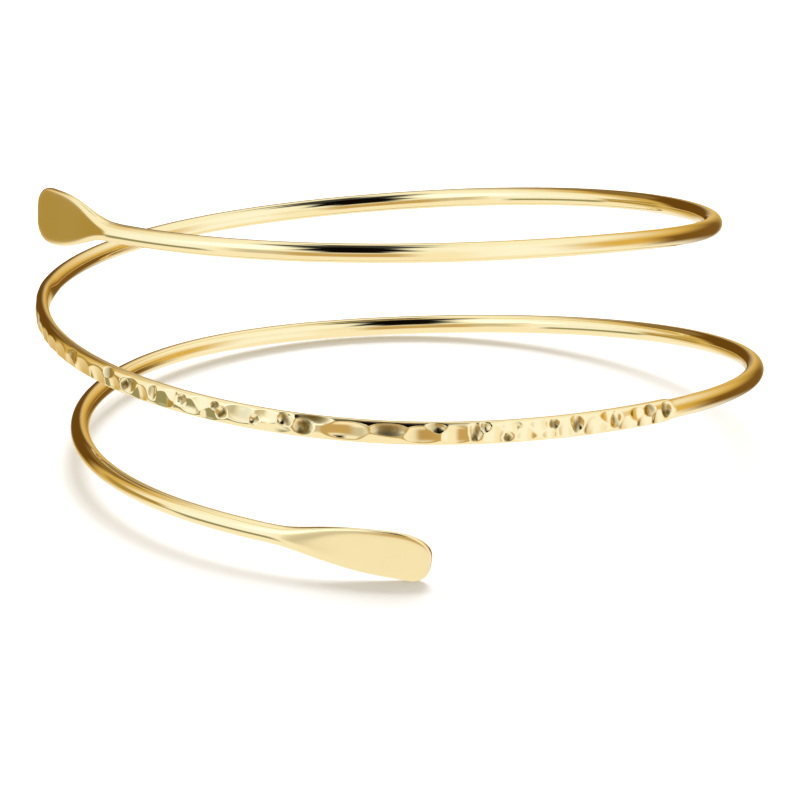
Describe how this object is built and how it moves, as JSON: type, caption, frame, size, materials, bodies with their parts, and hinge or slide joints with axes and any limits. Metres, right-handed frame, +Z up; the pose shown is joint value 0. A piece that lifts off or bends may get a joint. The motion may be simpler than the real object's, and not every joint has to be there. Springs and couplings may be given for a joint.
{
  "type": "upper arm cuff",
  "caption": "Open spiral arm cuff of polished round wire, with a hammered flat band at the front and both ends beaten into blunt paddles.",
  "frame": {"origin": "on the floor that the cuff rests on, under the middle of its bounding box", "axes": "+Z up from the floor, along the coil as it rests on its last turn, leaning a little to the back; +Y to the back, where the plain wire is; +X to the right, seen from the front where the hammered band is"},
  "size_m": [0.0812, 0.081, 0.0374],
  "materials": {
    "polished_gold": "bright polished gold, with hammer marks on the flat front band"
  },
  "bodies": {
    "root": {"spiral_band": "polished_gold"}
  },
  "joints": []
}
